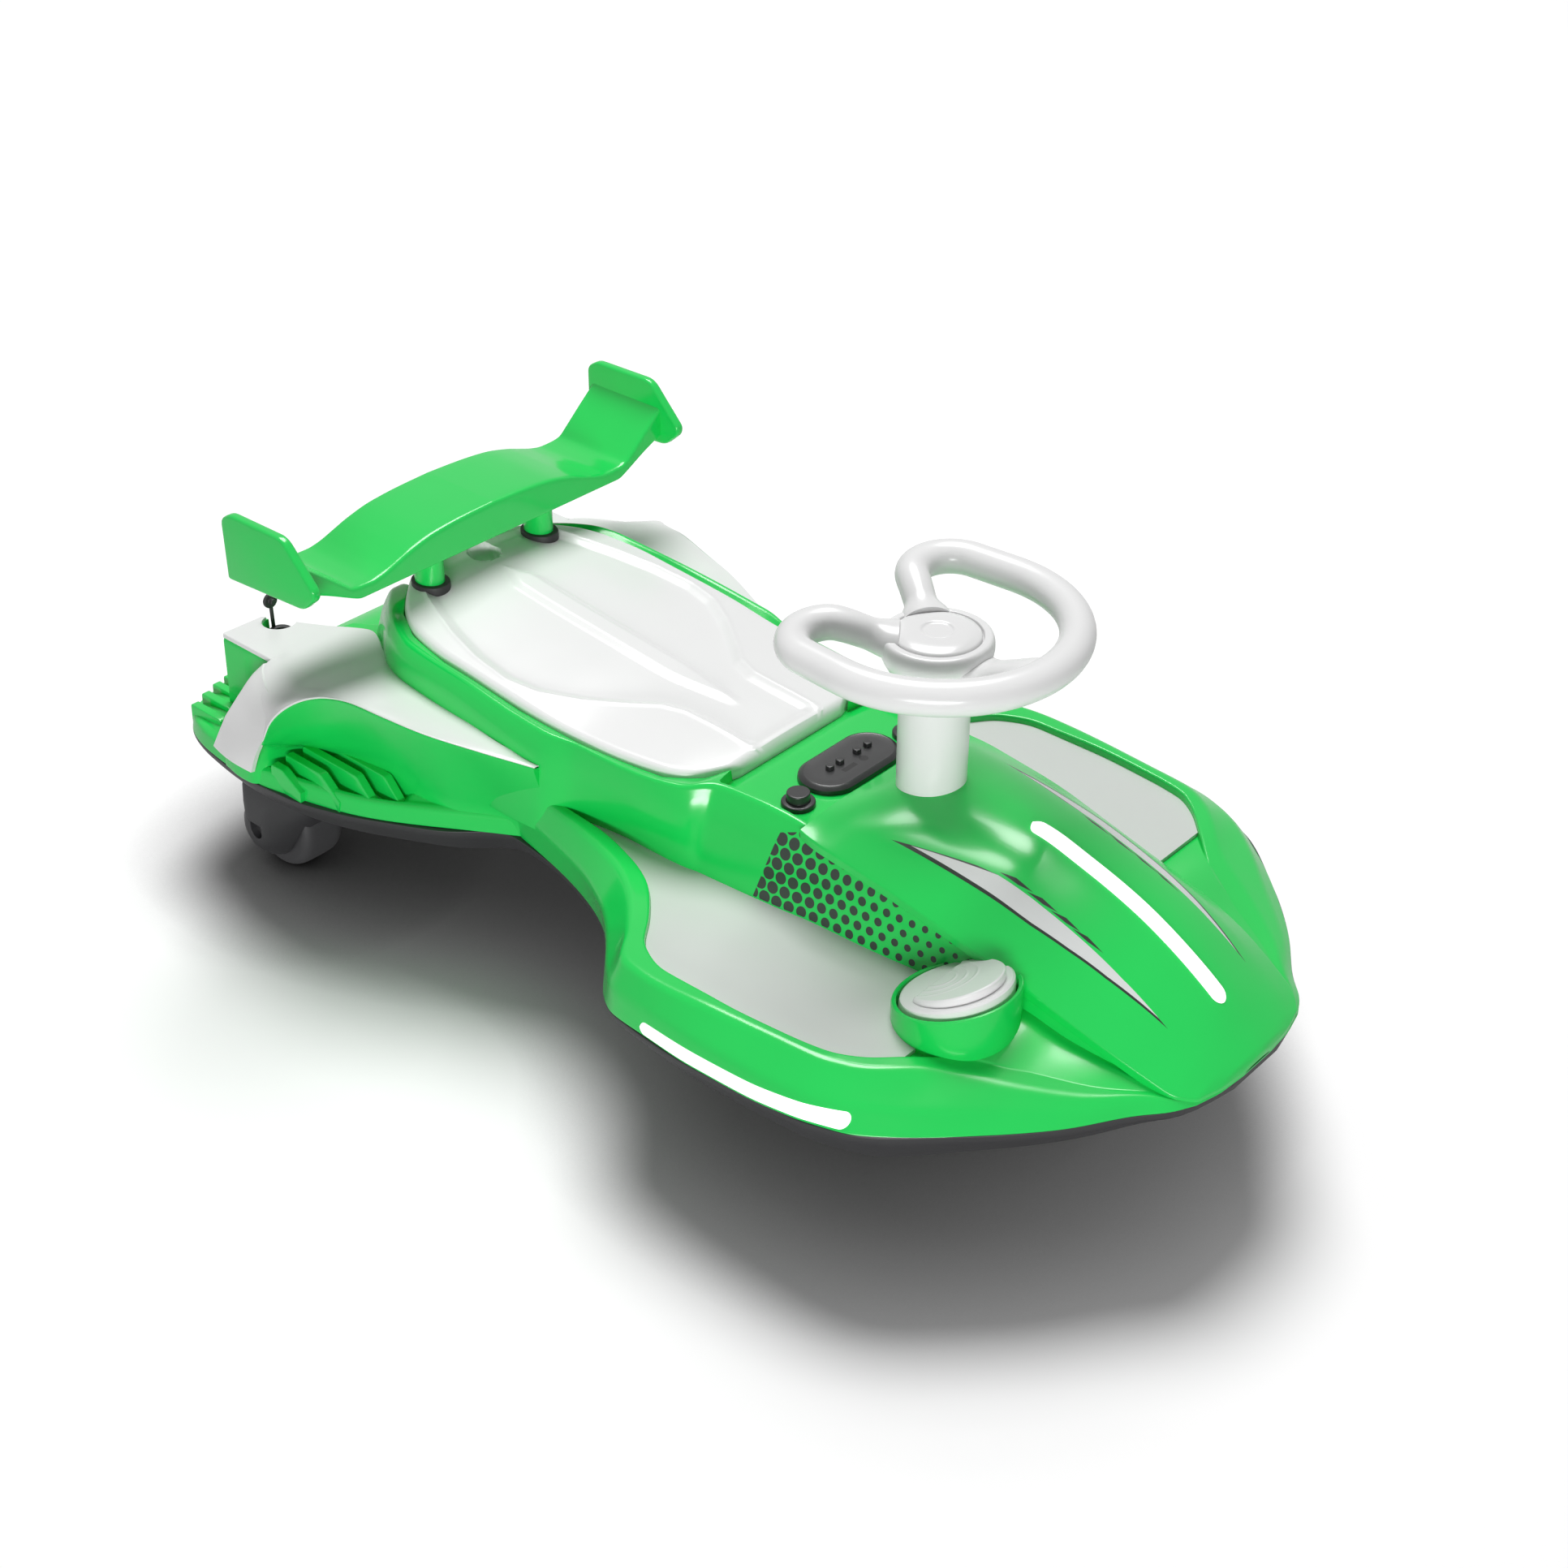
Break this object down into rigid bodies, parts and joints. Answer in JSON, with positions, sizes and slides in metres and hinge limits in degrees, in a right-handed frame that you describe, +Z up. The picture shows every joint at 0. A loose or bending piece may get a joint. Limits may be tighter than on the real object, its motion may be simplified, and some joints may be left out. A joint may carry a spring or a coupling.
{
  "type": "ride-on electric wiggle car",
  "caption": "Low ride-on toy car steered by its hand wheel, with hinged steering, rolling wheels, moulded seat, footwells and rear wing.",
  "frame": {"origin": "on the floor under the middle of the body", "axes": "+X forward, +Y the rider's left, +Z up"},
  "size_m": [0.93, 0.487, 0.3795],
  "materials": {
    "green_shell": "high gloss moulded",
    "dark_underbody": "fine grain",
    "light_strip": "lit diffuser",
    "white_plastic": "satin gloss",
    "grey_tray": "fine grain",
    "black_gloss": "gloss",
    "black_rubber": "soft",
    "wheel_rubber": "cast",
    "wheel_core": "satin",
    "steel": "zinc plated",
    "battery": "plain",
    "motor": "plain"
  },
  "bodies": {
    "body": {"upper_shell": "green_shell", "lower_shell": "dark_underbody", "hood": "green_shell", "hood_light_strip": "light_strip", "column_shroud": "white_plastic", "seat": "white_plastic", "wing_blade": "green_shell", "battery_block": "battery", "motor_block": "motor", "control_panel": "black_gloss", "panel_buttons": "black_gloss", "pedal_cup": "green_shell", "pedal": "white_plastic", "charge_socket": "black_rubber", "charge_cap": "black_rubber", "wing_endplate_right": "green_shell", "wing_post_right": "green_shell", "post_gasket_right": "black_rubber", "footwell_tray_right": "grey_tray", "deck_panel_right": "white_plastic", "side_light_strip_right": "light_strip", "round_button_right": "black_gloss", "rear_axle_right": "steel", "rear_wheel_housing_right": "dark_underbody", "wing_endplate_left": "green_shell", "wing_post_left": "green_shell", "post_gasket_left": "black_rubber", "footwell_tray_left": "grey_tray", "deck_panel_left": "white_plastic", "side_light_strip_left": "light_strip", "round_button_left": "black_gloss", "rear_axle_left": "steel", "rear_wheel_housing_left": "dark_underbody"},
    "steering": {"steering_rim": "white_plastic", "steering_hub": "white_plastic", "hub_cap": "white_plastic", "steering_shaft": "steel", "front_cross_arm": "dark_underbody", "front_axle": "steel"},
    "rear_wheel_right": {"rear_tyre_right": "wheel_rubber", "rear_wheel_core_right": "wheel_core"},
    "front_wheel_right": {"front_tyre_right": "wheel_rubber", "front_wheel_core_right": "wheel_core"},
    "rear_wheel_left": {"rear_tyre_left": "wheel_rubber", "rear_wheel_core_left": "wheel_core"},
    "front_wheel_left": {"front_tyre_left": "wheel_rubber", "front_wheel_core_left": "wheel_core"}
  },
  "joints": [
    {"name": "steering_turn", "type": "hinge", "parent": "body", "child": "steering", "pos_m": [0.185, 0, 0.2], "axis": [0, 0, 1], "range_deg": [-60, 60]},
    {"name": "rear_wheel_spin_right", "type": "hinge", "parent": "body", "child": "rear_wheel_right", "pos_m": [-0.371, -0.153, 0.043], "axis": [0, 1, 0], "continuous": true},
    {"name": "front_wheel_spin_right", "type": "hinge", "parent": "steering", "child": "front_wheel_right", "pos_m": [0.209, -0.065, 0.032], "axis": [0, 1, 0], "continuous": true},
    {"name": "rear_wheel_spin_left", "type": "hinge", "parent": "body", "child": "rear_wheel_left", "pos_m": [-0.371, 0.153, 0.043], "axis": [0, 1, 0], "continuous": true},
    {"name": "front_wheel_spin_left", "type": "hinge", "parent": "steering", "child": "front_wheel_left", "pos_m": [0.209, 0.065, 0.032], "axis": [0, 1, 0], "continuous": true}
  ]
}
